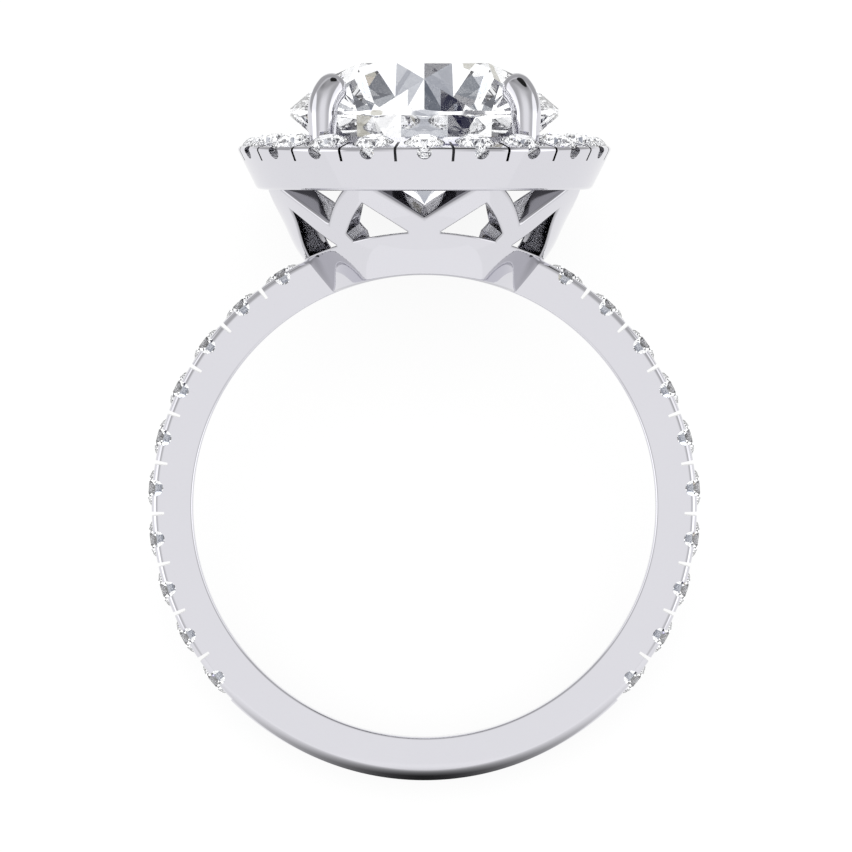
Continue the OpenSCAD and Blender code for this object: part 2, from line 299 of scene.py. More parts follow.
class NodeTree:
    """The nodes of one material or of the world."""

    def __init__(self, owner):
        owner.use_nodes = True
        self.nodes = owner.node_tree.nodes
        self.links = owner.node_tree.links
        self.nodes.clear()

    def node(self, kind, settings=None, inputs=None):
        """Adds a node of a type, sets its settings, then gives its sockets values or links."""
        node = self.nodes.new(kind)
        for name, value in (settings or {}).items():
            setattr(node, name, value)
        for name, value in (inputs or {}).items():
            socket = node.inputs[name]
            if isinstance(value, Value):
                self.links.new(value.socket, socket)
            elif isinstance(value, bpy.types.NodeSocket):
                self.links.new(value, socket)
            else:
                socket.default_value = value
        return node

    def math(self, operation, *values):
        node = self.node("ShaderNodeMath", {"operation": operation}, dict(enumerate(values)))
        return Value(self, node.outputs[0])

    def dot(self, vector, direction):
        """How much of a vector lies along a fixed direction."""
        inputs = {0: vector, 1: tuple(direction)}
        node = self.node("ShaderNodeVectorMath", {"operation": "DOT_PRODUCT"}, inputs)
        return Value(self, node.outputs["Value"])

    def mix(self, share, first, second):
        """One colour, then the other as share goes from 0 to 1."""
        node = self.node("ShaderNodeMix", {"data_type": "RGBA"}, {0: share, 6: first, 7: second})
        return node.outputs[2]

    def grey(self, value):
        """A grey colour out of one number."""
        return self.node("ShaderNodeCombineColor", None, {0: value, 1: value, 2: value}).outputs[0]

    def finish(self, kind, shader):
        self.node(kind, None, {"Surface": shader})


def rgba(colour):
    return (*colour, 1.0)


def to_row(points):
    """Points in millimetres in the upright axes become points in metres in the row frame."""
    return HOLE + np.asarray(points, float) @ AXES * MM


def arc(centre, radius, start, end, steps):
    """Points at equal angles on a circle: centre + radius (cos a, sin a), a from start to end in degrees."""
    a = np.radians(np.linspace(start, end, steps + 1))
    return np.asarray(centre) + radius * np.stack([np.cos(a), np.sin(a)], 1)


def grid_faces(rows, columns, wrap_rows=False, wrap_columns=True):
    """Quads of a grid of points numbered row by row, joined round where it wraps."""
    r = np.arange(rows if wrap_rows else rows - 1)[:, None]
    c = np.arange(columns if wrap_columns else columns - 1)[None, :]
    r2, c2 = (r + 1) % rows, (c + 1) % columns
    quads = np.stack([r * columns + c, r * columns + c2, r2 * columns + c2, r2 * columns + c], -1)
    return quads.reshape(-1, 4)


def mesh_piece(name, points, faces, weld=1e-7, recess=None):
    """A metal mesh object from points in the upright axes. Doubles are merged and the faces of a closed mesh
    point out. recess says for each point whether it lies in a recess, where the metal is rougher and
    its colour is painted darker as shade, or is True for all of it."""
    mesh = bpy.data.meshes.new(name)
    mesh.from_pydata(to_row(points).tolist(), [], [list(f) for f in faces])
    for finish in (METAL_FINISH, RECESS_SHADE_FINISH):
        mesh.materials.append(bpy.data.materials[finish])
    if recess is True:
        mesh.polygons.foreach_set("material_index", np.ones(len(mesh.polygons), np.int32))
    elif recess is not None:
        mesh.attributes.new("recess", "FLOAT", "POINT").data.foreach_set("value", recess.astype(np.float32))
    shape = bmesh.new()
    shape.from_mesh(mesh)
    bmesh.ops.remove_doubles(shape, verts=shape.verts, dist=weld)
    bmesh.ops.dissolve_degenerate(shape, edges=shape.edges, dist=weld)
    bmesh.ops.recalc_face_normals(shape, faces=shape.faces)
    shape.to_mesh(mesh)
    shape.free()
    piece = bpy.data.objects.new(name, mesh)
    bpy.context.scene.collection.objects.link(piece)
    return piece


def carve(piece, cutters):
    """Cuts closed shapes, which don't touch each other, out of a closed piece. Each cutter is (points,
    faces), and the faces that it leaves have the recess finish: rougher, with its colour painted darker as
    shade."""
    points, faces, count = [], [], 0
    for p, f in cutters:
        points.append(p)
        faces += [[i + count for i in face] for face in f]
        count += len(p)
    # The cutter's faces take the recess finish, whose colour is painted darker as shade
    cutter = mesh_piece("cutter", np.concatenate(points), faces, recess=True)
    cut = piece.modifiers.new("cut", "BOOLEAN")
    cut.operation = "DIFFERENCE"
    cut.solver = "MANIFOLD"
    cut.object = cutter
    carved = bpy.data.meshes.new_from_object(piece.evaluated_get(bpy.context.evaluated_depsgraph_get()))
    piece.modifiers.clear()
    old, piece.data = piece.data, carved
    carved.name = piece.name
    bpy.data.meshes.remove(old)
    bpy.data.objects.remove(cutter)


def smooth(piece, angle):
    """Smooth shading, except over edges that turn by more than an angle in degrees."""
    mesh = piece.data
    mesh.polygons.foreach_set("use_smooth", np.ones(len(mesh.polygons), bool))
    mesh.set_sharp_from_angle(angle=math.radians(angle))
    mesh.update()


def place_metal(piece, in_stones=False):
    """Hangs a piece of the mount on the frame in place of the mount's node. The light inside the stones
    passes it by, so that their facets stay bright, unless it is to show in them."""
    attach(piece, BODY)
    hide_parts(METAL_NODE)
    piece.visible_transmission = in_stones


def revolve(outline, angles, about_finger):
    """Turns a closed outline of (radius, along) about an axis: the finger's, from the head round through +X,
    or the head's, from +X round through AWAY. angles are in degrees, and the turn closes on itself."""
    a = np.radians(np.asarray(angles))[:, None]
    r, along = outline[None, :, 0], outline[None, :, 1]
    if about_finger:
        return np.stack([r * np.sin(a), along + 0 * a, r * np.cos(a)], -1)
    return np.stack([r * np.cos(a), r * np.sin(a), along + 0 * a], -1)


def turned(points, axis, degrees):
    """Points turned about one of the upright axes through the origin."""
    turn = np.array(Matrix.Rotation(math.radians(degrees), 3, axis))
    return points @ turn.T


def cone_cutter(size, above, sides=48):
    """Room for a small stone on the Z axis with its girdle at z = 0: a cone below, a round hole above."""
    r = size / 2 + SEAT_GAP
    low = -SEAT_GIRDLE * size / 2 - SEAT_GAP
    tip = low - r * math.tan(math.radians(SEAT_PAVILION))
    a = np.radians(np.arange(sides) * 360 / sides)
    ring = np.stack([r * np.cos(a), r * np.sin(a)], 1)
    points = np.concatenate([
        np.column_stack([ring, np.full(sides, low)]),
        np.column_stack([ring, np.full(sides, above)]),
        [[0, 0, tip]],
    ])
    faces = [list(f) for f in grid_faces(2, sides)]
    faces += [[i, (i + 1) % sides, 2 * sides] for i in range(sides)]
    faces.append(list(range(sides, 2 * sides)))
    return points, faces


def rod_cutter(radius, axis, start, end, sides=40):
    """A round rod on the Y or X axis: rings (radius cos a, radius sin a) at its start and its end."""
    a = np.radians(np.arange(sides) * 360 / sides)
    u, v = radius * np.cos(a), radius * np.sin(a)
    ends = [np.full(sides, start), np.full(sides, end)]
    order = (lambda t: [u, t, v]) if axis == "Y" else (lambda t: [t, u, v])
    return np.concatenate([np.stack(order(t), 1) for t in ends]), prism_faces(sides)


def prism_faces(sides):
    """The faces of a prism whose two ends are numbered one after the other."""
    return [*grid_faces(2, sides).tolist(), list(range(sides)), list(range(sides, 2 * sides))]


def slab_cutter(outline, depth):
    """A prism along Y with an outline of (x, z), reaching depth to each side of the middle."""
    n = len(outline)
    outline = np.asarray(outline, float)
    ends = [np.column_stack([outline[:, 0], np.full(n, y), outline[:, 1]]) for y in (-depth, depth)]
    return np.concatenate(ends), prism_faces(n)


def band_outline(sizes, outer, edge):
    """The band's section, its four edges rounded, as (radius from the finger's axis, place along it)."""
    half = sizes.width / MM / 2
    hole_edge = sizes.hole_round / MM
    hole = sizes.hole_radius / MM + hole_edge
    return np.concatenate([
        arc((hole, hole_edge - half), hole_edge, 180, 270, 6),
        arc((outer - edge, edge - half), edge, -90, 0, 14),
        arc((outer - edge, half - edge), edge, 0, 90, 14),
        arc((hole, half - hole_edge), hole_edge, 90, 180, 6),
    ])


def band_piece(sizes):
    """The band: its two sections turned about the finger's axis, less the seats, notches and slots."""
    outer = (sizes.hole_radius + sizes.thickness) / MM
    side_outer = outer - sizes.side_drop / MM
    side = band_outline(sizes, side_outer, sizes.side_round / MM)
    bottom = band_outline(sizes, outer, sizes.bottom_round / MM)
    over = np.linspace(-BAND_SIDE_END, BAND_SIDE_END, 541)
    under = np.linspace(BAND_SIDE_END, 360 - BAND_SIDE_END, 181)
    rings = np.concatenate([revolve(side, over, True), revolve(bottom, under, True)])
    piece = mesh_piece("band", rings.reshape(-1, 3), grid_faces(*rings.shape[:2], wrap_rows=True))

    def at(place, shape):
        """A cutter turned to its place round the band."""
        points, faces = shape
        return turned(points, "Y", place), faces

    size = sizes.stone_size / MM
    seats, notches, slots = [], [], []
    foot, half, over_all = BAND_SLOT_FOOT_W / 2, BAND_SLOT_W / 2, side_outer + 0.3
    slot = [
        (-foot, BAND_SLOT_AT), (foot, BAND_SLOT_AT), (half, side_outer),
        (half, over_all), (-half, over_all), (-half, side_outer),
    ]
    for sign in (-1, 1):
        for i in range(sizes.stones):
            place = sign * (BAND_FIRST + BAND_PITCH * i)
            cone, cone_faces = cone_cutter(size, 0.6)
            seats.append(at(place, (cone + [0, 0, BAND_GIRDLE_R], cone_faces)))
            rod, rod_faces = rod_cutter(BAND_NOTCH_R, "Y", -2.0, 2.0)
            notches.append(at(place, (rod + [0, 0, BAND_NOTCH_AT], rod_faces)))
            if i + 1 < sizes.stones:
                slots.append(at(place + sign * BAND_PITCH / 2, slab_cutter(slot, 2.0)))
    for cutters in (seats, notches, slots):
        carve(piece, cutters)
    smooth(piece, 32)
    return piece


def halo_levels(sizes):
    """Centres of the rounds at the rim and the foot of the halo's wall, and where the top leaves the rim."""
    flare, rise = sizes.flare, sizes.rise
    rim = np.array([sizes.halo_radius, sizes.halo_height + sizes.wall_height]) / MM - RIM_ROUND
    foot_z = sizes.halo_height / MM + FOOT_ROUND
    foot_r = rim[0] + (RIM_ROUND - FOOT_ROUND) / math.cos(flare) - (rim[1] - foot_z) * math.tan(flare)
    top = rim + RIM_ROUND * np.array([math.sin(rise), math.cos(rise)])
    return rim, np.array([foot_r, foot_z]), top


def halo_outline(sizes):
    """The halo's section as (radius, height): a flaring wall, a top that rises inwards, a straight inside."""
    rim, foot, top = halo_levels(sizes)
    flare, rise = math.degrees(sizes.flare), math.degrees(sizes.rise)
    inner_r = HALO_INNER_R + INNER_ROUND
    inner_z = top[1] + (top[0] - inner_r) * math.tan(sizes.rise) - INNER_ROUND / math.cos(sizes.rise)
    return np.concatenate([
        np.array([[HALO_FOOT_INNER_R, sizes.halo_height / MM]]),
        arc(foot, FOOT_ROUND, -90, -flare, 14),
        arc(rim, RIM_ROUND, -flare, 90 - rise, 14),
        arc((inner_r, inner_z), INNER_ROUND, 90 - rise, 180, 8),
    ])


def halo_seats(sizes):
    """The rooms of the halo's stones in its frame and in the prongs beside them."""
    _, _, top = halo_levels(sizes)
    row_z = top[1] + (top[0] - HALO_ROW_R) * math.tan(sizes.rise) - HALO_ROW_DROP
    cone, faces = cone_cutter(sizes.stone_size / MM, 0.3)
    cone = turned(cone, "Y", math.degrees(sizes.rise)) + [HALO_ROW_R, 0, row_z]
    return [(turned(cone, "Z", -90 + i * 360 / sizes.stones), faces) for i in range(sizes.stones)]


def halo_piece(sizes):
    """The halo's frame turned about the head's axis, with the seats, notches and slots cut out."""
    rings = revolve(halo_outline(sizes), np.arange(0, 360, 0.5), False)
    piece = mesh_piece("halo_frame", rings.reshape(-1, 3), grid_faces(*rings.shape[:2], wrap_rows=True))
    notches, slots = [], []
    for i in range(sizes.stones):
        place = -90 + i * 360 / sizes.stones
        rod, rod_faces = rod_cutter(HALO_NOTCH_R, "X", HALO_NOTCH_FROM, HALO_NOTCH_FROM + 2)
        notches.append((turned(rod + [0, 0, HALO_NOTCH_Z], "Z", place), rod_faces))
        slot, slot_faces = slab_cutter([
            (HALO_SLOT_FROM, HALO_SLOT_Z), (HALO_SLOT_FROM + 2, HALO_SLOT_Z),
            (HALO_SLOT_FROM + 2, HALO_SLOT_Z + 2), (HALO_SLOT_FROM, HALO_SLOT_Z + 2),
        ], HALO_SLOT_W / 2)
        slots.append((turned(slot, "Z", place + 180 / sizes.stones), slot_faces))
    for cutters in (halo_seats(sizes), notches, slots):
        carve(piece, cutters)
    smooth(piece, 32)
    return piece


def prong_points(sizes, sides):
    """One prong as rings square to its centre line. The line goes straight up from the foot, then bends in an
    arc towards the stone, and the radius runs from the foot's to the girdle's to the claw's. Past the bend
    the rings close in a quarter round: radius claw cos b at claw sin b along the lean."""
    bend_r, top_z = 1.15, 15.44
    lean = sizes.claw_lean
    at, claw = sizes.prong_at / MM, sizes.claw_radius / MM
    girdle, foot = sizes.prong_radius / MM, sizes.prong_foot / MM
    bend_z = top_z - claw - bend_r * math.sin(lean)
    foot_z = sizes.halo_height / MM + 0.1
    up = np.linspace(0, 1, 14, endpoint=False)
    bend = np.linspace(0, 1, 29)
    close = np.linspace(0, 1, 15)[1:]
    b = close * math.pi / 2
    end_r = at - bend_r * (1 - math.cos(lean))
    end_z = bend_z + bend_r * math.sin(lean)
    r = np.concatenate([
        at + 0 * up,
        at - bend_r * (1 - np.cos(lean * bend)),
        end_r - claw * np.sin(b) * math.sin(lean),
    ])
    z = np.concatenate([
        foot_z + (bend_z - foot_z) * up,
        bend_z + bend_r * np.sin(lean * bend),
        end_z + claw * np.sin(b) * math.cos(lean),
    ])
    a = np.concatenate([0 * up, lean * bend, lean + 0 * b])
    size = np.concatenate([foot + (girdle - foot) * up, girdle + (claw - girdle) * bend, claw * np.cos(b)])
    t = np.arange(sides) * 2 * math.pi / sides
    r, z, a, size = (column[:, None] for column in (r, z, a, size))
    side = size * np.cos(t)
    return np.stack([r + side * np.cos(a), size * np.sin(t), z + side * np.sin(a)], -1)


def stone_room():
    """The centre stone's room in its prongs, as a closed revolve of its pavilion, girdle, crown and table."""
    bezel = STONE_CROWN / (STONE_R * (1 - STONE_TABLE_PART))
    girdle_z = STONE_TABLE_Z - STONE_CROWN
    star_z = STONE_TABLE_Z - (STONE_STAR_PART * math.cos(math.pi / 8) - STONE_TABLE_PART) * STONE_R * bezel
    low = girdle_z - STONE_GIRDLE - SEAT_GAP
    profile = np.array([
        [0, low - STONE_R * math.tan(math.radians(STONE_PAVILION))],
        [STONE_R + SEAT_GAP, low],
        [STONE_R + SEAT_GAP, girdle_z + SEAT_GAP],
        [STONE_STAR_PART * STONE_R, star_z + 2 * SEAT_GAP],
        [STONE_TABLE_PART * STONE_R, STONE_TABLE_Z + 2 * SEAT_GAP],
        [0, STONE_TABLE_Z + 2 * SEAT_GAP],
    ])
    rings = revolve(profile, np.arange(0, 360, 1.5), False)
    return rings.reshape(-1, 3), grid_faces(*rings.shape[:2], wrap_rows=True, wrap_columns=False)


def prongs_piece(sizes):
    """The four claws, each swept and then cut to the centre stone and to the halo's stones beside it."""
    sides = 48
    one = prong_points(sizes, sides)
    points, faces = [], []
    for k in range(4):
        base = k * one.shape[0] * sides
        points.append(turned(one.reshape(-1, 3), "Z", 45 + 90 * k))
        faces += [list(f) for f in grid_faces(one.shape[0], sides) + base]
        faces.append([base + i for i in range(sides)])
    piece = mesh_piece("prongs", np.concatenate(points), faces)
    carve(piece, [stone_room()])
    carve(piece, halo_seats(sizes))
    smooth(piece, 40)
    return piece


def flare_at(z):
    """Outer radius of the gallery at a height and its slope: a cubic through FLARE whose slopes at the inner
    points are the means of the runs beside them."""
    heights, radii = FLARE.T
    run = np.diff(radii) / np.diff(heights)
    slope = np.concatenate([run[:1], (run[1:] + run[:-1]) / 2, run[-1:]])
    k = np.clip(np.searchsorted(heights, z, side="right") - 1, 0, len(heights) - 2)
    h = heights[k + 1] - heights[k]
    t = (z - heights[k]) / h
    a, b = radii[k], radii[k + 1]
    m, n = slope[k] * h, slope[k + 1] * h
    cube, square = t**3, t**2
    radius = (2 * cube - 3 * square + 1) * a + (cube - 2 * square + t) * m
    radius = radius + (3 * square - 2 * cube) * b + (cube - square) * n
    rate = (6 * square - 6 * t) * a + (3 * square - 4 * t + 1) * m
    rate = rate + (6 * t - 6 * square) * b + (3 * square - 2 * t) * n
    return radius, rate / h


def flare_points(place):
    """Points of the flare and its outward normals, from (angle from the front in radians, height)."""
    angle, z = place[:, 0], place[:, 1]
    radius, slope = flare_at(z)
    out = np.stack([np.sin(angle), -np.cos(angle), 0 * angle], 1)
    points = radius[:, None] * out + z[:, None] * [0, 0, 1]
    normals = (out - slope[:, None] * [0, 0, 1]) / np.sqrt(1 + slope**2)[:, None]
    return points, normals


def outer_points(place):
    """Points of the gallery's outside, which is the flare."""
    return flare_points(place)[0]


def inner_points(place):
    """Points of the gallery's inside: the flare less its wall, square to the surface."""
    points, normals = flare_points(place)
    return points - normals * np.interp(place[:, 1], *WALL.T)[:, None]


def place_of(points):
    """(angle, height) of points on or near the flare."""
    return np.stack([np.arctan2(points[:, 0], -points[:, 1]), points[:, 2]], 1)


def chart(place):
    """Lays the flare flat, with no seam: an angle stays an angle, and the radius grows with the height."""
    rho = CHART_FOOT_R + CHART_SPREAD * (place[:, 1] - FLARE[0, 0])
    return np.stack([rho * np.sin(place[:, 0]), -rho * np.cos(place[:, 0])], 1)


def unchart(flat):
    """(angle, height) of points of the chart."""
    rho = np.hypot(flat[:, 0], flat[:, 1])
    height = FLARE[0, 0] + (rho - CHART_FOOT_R) / CHART_SPREAD
    return np.stack([np.arctan2(flat[:, 0], -flat[:, 1]), height], 1)


def on_cylinder(angle, radius, surface):
    """Height at which a surface of places meets a cylinder about the finger's axis, found by halving."""
    low, high = np.full(len(angle), FLARE[0, 0]), np.full(len(angle), SADDLE_TOP_Z)
    for _ in range(40):
        mid = (low + high) / 2
        p = surface(np.stack([angle, mid], 1))
        under = np.hypot(p[:, 0], p[:, 2]) < radius
        low, high = np.where(under, mid, low), np.where(under, high, mid)
    return (low + high) / 2


def edge_places(first, last, at, spacing, bow=0.0):
    """Places along a window's edge, in the plane square to the wall at an angle. The height and the distance
    across, radius sin(angle - at), both change evenly, and the edge bows out by 4 bow t (1 - t). The last
    point is left to the next edge."""
    z = np.array([first[1], last[1]])
    across = flare_at(z)[0] * np.sin(np.radians([first[0] - at, last[0] - at]))
    steps = max(2, math.ceil(math.hypot(z[1] - z[0], across[1] - across[0]) / spacing))
    t = np.arange(steps) / steps
    height = z[0] + (z[1] - z[0]) * t
    x = across[0] + (across[1] - across[0]) * t + 4 * bow * t * (1 - t)
    return np.stack([math.radians(at) + np.arcsin(x / flare_at(height)[0]), height], 1)


def mirrored(places, turn):
    """A window's places in one of the four quarters: turn is (sign of x, sign of y)."""
    angle = places[:, 0]
    angle = angle if turn[1] > 0 else math.pi - angle
    angle = angle if turn[0] > 0 else -angle
    return np.stack([angle, places[:, 1]], 1)


def window_side(at, corners, spacing, bow, saddle):
    """Places down one side of a lower window, from its point to the saddle's cylinder: every fourth of a
    fine run along it, and the last one above the cylinder."""
    fine = 4
    runs = []
    for i, (first, last) in enumerate(zip(corners, corners[1:])):
        run = edge_places(first, last, at, spacing / fine, 0.0 if i else bow)
        points = outer_points(run)
        run = run[np.hypot(points[:, 0], points[:, 2]) > saddle + 0.01]
        if len(run):
            runs.append(run[::fine])
            end = run[-1:]
    return np.concatenate([*runs, end])


def lower_window(k, spacing, saddle):
    """One lower window in the first quarter: down one side to the saddle, along it, and up the other side."""
    at, apex, near, far, bow = LOWER_WINDOWS[k]
    down = window_side(at, (apex, *near), spacing, 0.0, saddle)
    back = window_side(at, (apex, *far), spacing, bow, saddle)
    start, end = down[-1, 0], back[-1, 0]
    angle = np.linspace(start, end, 2 + math.ceil(abs(end - start) * SADDLE_EDGE_R / spacing))
    floor = np.stack([angle, on_cylinder(angle, saddle, outer_points)], 1)
    return np.concatenate([down, floor, back[:0:-1]])


def upper_edges(spacing):
    """The upper windows in order round the front from the left: each goes down from the top and up again."""
    top = FLARE[-1, 0]
    joint = (TOP_JOINTS[0] + TOP_JOINT_HALF, TOP_JOINTS[1] - TOP_JOINT_HALF)

    def notch(at, first, point, last, apex_z, first_bow, last_bow):
        """One window: from the top edge down to its point, and up to the top edge again."""
        return np.concatenate([
            edge_places((first, top), (point, apex_z), at, spacing, first_bow),
            edge_places((point, apex_z), (last, top), at, spacing, last_bow),
            [[math.radians(last), top]],
        ])

    out = []
    for turn in range(4):
        if turn % 2 == 0:
            half, apex_z = FRONT_HALF, FRONT_APEX_Z
            side = notch(45, joint[0], LOW_JOINT, joint[1], UPPER_APEX_Z, UPPER_BOW, 0.0)
        else:
            half, apex_z = TOP_JOINTS[0] - TOP_JOINT_HALF, UPPER_APEX_Z
            side = notch(45, 90 - joint[1], 90 - LOW_JOINT, 90 - joint[0], UPPER_APEX_Z, 0.0, -UPPER_BOW)
        middle = notch(0, -half, 0, half, apex_z, 0.0, 0.0)
        out += [window + [math.radians(90 * turn), 0] for window in (middle, side)]
    return out


def gallery_loops(spacing):
    """The outlines of the flare's metal as closed lists of places, metal on the left seen from outside: the
    outer boundary with the upper windows cut into it, the collar's foot, and the lower windows."""
    top, top_r = FLARE[-1]
    notches = upper_edges(spacing)
    clear = TOP_EDGE_CLEAR / top_r
    outer = []
    for notch, following in zip(notches, notches[1:] + notches[:1]):
        start, end = notch[-1, 0], following[0, 0]
        end += 2 * math.pi if end < start else 0
        angle = np.linspace(start + clear, end - clear, 2 + math.ceil((end - start) * top_r / spacing))
        outer += [notch, np.stack([angle, np.full(len(angle), top)], 1)]
    angle = np.linspace(0, 2 * math.pi, math.ceil(2 * math.pi * FOOT_R / spacing), endpoint=False)
    foot = np.stack([angle, on_cylinder(angle, COLLAR_R, outer_points)], 1)
    loops = [np.concatenate(outer), foot[::-1]]
    for k in (0, 1):
        for turn in ((1, 1), (-1, 1), (1, -1), (-1, -1)):
            window = mirrored(lower_window(k, spacing, SADDLE_R if turn[1] > 0 else SADDLE_BACK_R), turn)
            loops.append(window if turn[0] * turn[1] > 0 else window[::-1])
    return loops


def signed_area(flat):
    """Area inside a loop of the chart, above 0 if it runs to the left: half the sum of x dy - y dx."""
    x, y = flat.T
    return np.sum(x * np.roll(y, -1) - y * np.roll(x, -1)) / 2


def tidy_loop(places):
    """A loop with no doubled points."""
    flat = chart(places)
    keep = np.linalg.norm(flat - np.roll(flat, 1, 0), axis=1) > 1e-4
    return places[keep]


def inset_direction(points, normals):
    """For each point of a closed loop, the way into the metal along the surface: the mitre of the sides of
    its two edges. The metal is on the right of each edge, seen from outside. Points along the top edge stay
    on it."""
    edge = np.roll(points, -1, 0) - points
    side = np.cross(edge, normals)
    side /= np.linalg.norm(side, axis=1)[:, None]
    before = np.roll(side, 1, 0)
    way = (side + before) / (1 + np.sum(side * before, 1))[:, None].clip(0.35)
    top = points[:, 2] > FLARE[-1, 0] - 1e-6
    along = np.roll(points, -1, 0) - np.roll(points, 1, 0)
    along[:, 2] = 0
    along /= np.linalg.norm(along, axis=1)[:, None]
    slant = np.where(np.roll(top, -1)[:, None], before, side)
    corner = top & ~(np.roll(top, 1) & np.roll(top, -1))
    way[top] = 0
    way[corner] = (along / np.sum(along * slant, 1)[:, None])[corner]
    return way


def inside(flat, loops):
    """Whether points of the chart lie in the metal, by counting the edges that a ray along +x crosses."""
    crossed = np.zeros(len(flat), int)
    for loop in loops:
        a, b = loop, np.roll(loop, -1, 0)
        for start in range(0, len(flat), 4000):
            x, y = flat[start:start + 4000, 0][:, None], flat[start:start + 4000, 1][:, None]
            spans = (a[:, 1] > y) != (b[:, 1] > y)
            with np.errstate(divide="ignore", invalid="ignore"):
                at = a[:, 0] + (y - a[:, 1]) * (b[:, 0] - a[:, 0]) / (b[:, 1] - a[:, 1])
            crossed[start:start + 4000] += np.sum(spans & (x < at), 1)
    return crossed % 2 == 1


def sheet_faces(loops, spacing):
    """Triangles over the metal inside the loops of places, with points of their own between the outlines.
    Returns all the places, those of the loops first and in order, and the triangles."""
    flat_loops = [chart(loop) for loop in loops]
    edges, count = [], 0
    for loop in flat_loops:
        n = len(loop)
        edges += [(count + i, count + (i + 1) % n) for i in range(n)]
        count += n
    outline = np.concatenate(flat_loops)
    reach = np.abs(outline).max()
    line = np.arange(-reach, reach, spacing)
    x, y = np.meshgrid(line, line)
    x = x + (np.arange(len(line)) % 2)[:, None] * spacing / 2
    own = np.stack([x.ravel(), y.ravel()], 1)
    own = own[inside(own, flat_loops)]
    near = [np.sum((part[:, None] - outline) ** 2, 2).min(1) for part in np.array_split(own, 20)]
    own = own[np.concatenate(near) > (0.6 * spacing) ** 2]
    flat = np.concatenate([outline, own])
    found = delaunay_2d_cdt([Vector(p) for p in flat], edges, [], 0, 1e-7)
    verts = np.array([tuple(v) for v in found[0]])
    source = np.array([min(o) if o else -1 for o in found[3]])
    triangles = np.array(found[2])
    triangles = triangles[inside(verts[triangles].mean(1), flat_loops)]
    if (source[triangles] < 0).any():
        raise ValueError("The outlines of the gallery's windows cross")
    return flat, source[triangles]


def rounded(t, start, corner, end):
    """Points of a round from one surface to another: (1 - t)^2 start + 2t(1 - t) corner + t^2 end."""
    return (1 - t) ** 2 * start + 2 * t * (1 - t) * corner + t**2 * end


def gallery_piece():
    """The pierced flare. Its outside and inside are triangulated on the flat chart, and each outline's edge
    is a strip of rows: a soft round, a wall through the metal, and a small round inside."""
    spacing, inner_round = 0.07, 0.05
    loops = [tidy_loop(loop) for loop in gallery_loops(spacing)]
    points, faces, recess = [], [], []
    count = 0
    insets = {"out": [], "in": []}
    strips = []
    for number, loop in enumerate(loops):
        corner, normals = flare_points(loop)
        outer_boundary = number == 0
        left_is_metal = (signed_area(chart(loop)) > 0) == outer_boundary
        if not left_is_metal:
            loop, corner, normals = loop[::-1], corner[::-1], normals[::-1]
        way = inset_direction(corner, normals)
        outer_round = 0.15 if outer_boundary else 0.09
        cylinder_r = COLLAR_R if number == 1 else SADDLE_R if corner[0, 1] < 0 else SADDLE_BACK_R
        on_floor = np.abs(np.hypot(corner[:, 0], corner[:, 2]) - cylinder_r) < 1e-3
        inner_z = np.where(on_floor, on_cylinder(loop[:, 0], cylinder_r, inner_points), loop[:, 1])
        far = inner_points(np.stack([loop[:, 0], inner_z], 1))
        down = far - corner
        depth = np.linalg.norm(down, axis=1)[:, None]
        down /= depth
        top_place = place_of(corner + outer_round * way)
        low_place = place_of(corner + inner_round * way)
        into = inner_round if number == 1 else -inner_round
        low_place[:, 1] = np.where(on_floor, inner_z + into, low_place[:, 1])
        first = outer_points(top_place)
        last = inner_points(low_place)
        rows = [first]
        for t in np.linspace(0, 1, 8)[1:]:
            rows.append(rounded(t, first, corner, corner + outer_round * down))
        for t in (0.35, 0.7):
            rows.append(corner + down * (outer_round + (depth - outer_round - inner_round) * t))
        for t in np.linspace(0, 1, 4)[:-1]:
            rows.append(rounded(t, far - inner_round * down, far, last))
        rows.append(last)
        strips.append(np.stack(rows))
        insets["out"].append(top_place)
        insets["in"].append(low_place)
    for side, surface in (("out", outer_points), ("in", inner_points)):
        flat, triangles = sheet_faces(insets[side], spacing)
        place = unchart(flat)
        points.append(surface(place))
        # The inside is painted darker as shade all over
        recess.append(np.full(len(place), float(side == "in")))
        faces += [list(t) for t in (triangles + count)]
        count += len(place)
    for strip in strips:
        points.append(strip.reshape(-1, 3))
        # Along each window's edge the painted shade grows from the outer round into the wall
        recess.append(np.repeat(np.clip(np.arange(len(strip)) / 7, 0, 1), strip.shape[1]))
        faces += [list(f) for f in grid_faces(*strip.shape[:2]) + count]
        count += strip.shape[0] * strip.shape[1]
    piece = mesh_piece("gallery", np.concatenate(points), faces, weld=2e-7, recess=np.concatenate(recess))
    smooth(piece, 40)
    return piece


def white_gold(finish, name, shaded_all_over):
    """White gold: a bright, faintly cool metal whose polish varies a little, with very fine wheel marks. In
    recesses it is rougher, and its colour is painted darker there as shade: all over if shaded_all_over is
    set, and otherwise as far as the piece's recess attribute says."""
    material = bpy.data.materials.new(name)
    tree = NodeTree(material)
    place = tree.node("ShaderNodeTexCoord").outputs["Object"]
    clouds = tree.node("ShaderNodeTexNoise", None, {"Vector": place, "Scale": 700.0, "Detail": 3.0})
    marks = tree.node("ShaderNodeTexNoise", None, {"Vector": place, "Scale": 9000.0, "Detail": 2.0})
    cloud = Value(tree, clouds.outputs["Fac"])
    # Painted shade: the metal's colour darkened by the recess tone, for windows, seats and insides
    painted_shade_tone = rgba([finish.recess * c for c in finish.metal])
    if shaded_all_over:
        recess, tone = 1.0, painted_shade_tone
    else:
        recess = Value(tree, tree.node("ShaderNodeAttribute", {"attribute_name": "recess"}).outputs["Fac"])
        tone = tree.mix(cloud, rgba([0.985 * c for c in finish.metal]), rgba(finish.metal))
        tone = tree.mix(recess, tone, painted_shade_tone)
    bump = tree.node("ShaderNodeBump", None, {
        "Strength": 0.02, "Distance": 0.00001, "Height": marks.outputs["Fac"],
    })
    shader = tree.node("ShaderNodeBsdfPrincipled", None, {
        "Base Color": tone, "Metallic": 1.0,
        "Roughness": cloud * 0.03 + (finish.metal_roughness - 0.015) + recess * 0.06,
        "Normal": bump.outputs["Normal"],
    })
    tree.finish("ShaderNodeOutputMaterial", shader.outputs[0])
    return material


